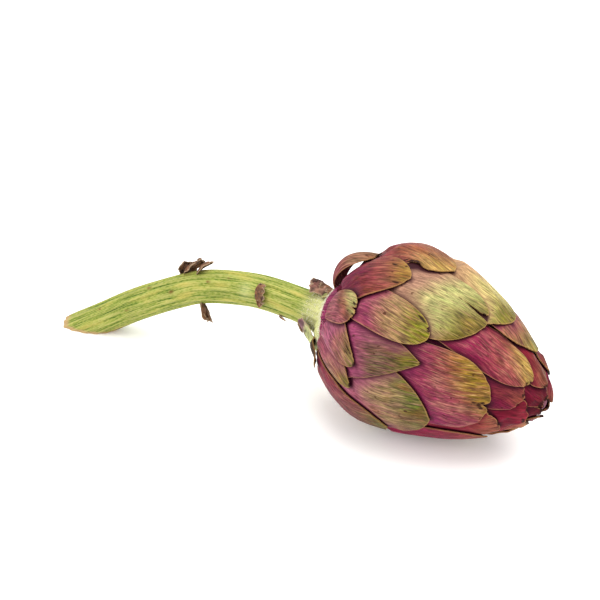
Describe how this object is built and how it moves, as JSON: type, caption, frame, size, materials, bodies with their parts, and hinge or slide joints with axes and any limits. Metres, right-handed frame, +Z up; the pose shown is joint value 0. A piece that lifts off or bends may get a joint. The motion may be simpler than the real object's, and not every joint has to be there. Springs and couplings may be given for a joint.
{
  "type": "artichoke",
  "caption": "Violet globe artichoke as picked: a pointed head of overlapping bracts on a short curved ribbed stalk, lying on its side.",
  "frame": {"origin": "centre of the bounding box's foot, on the surface that the artichoke lies on", "axes": "+X runs from the stalk's cut end to the tip of the head, +Y to the side away from the viewer, +Z up"},
  "size_m": [0.2338, 0.0776, 0.0756],
  "materials": {
    "bracts": "waxy satin plant tissue, violet at the base and olive green at the tips",
    "stalk": "matte fibrous green plant tissue with pale ribs"
  },
  "bodies": {
    "root": {"head": "bracts", "stem": "stalk"}
  },
  "joints": []
}
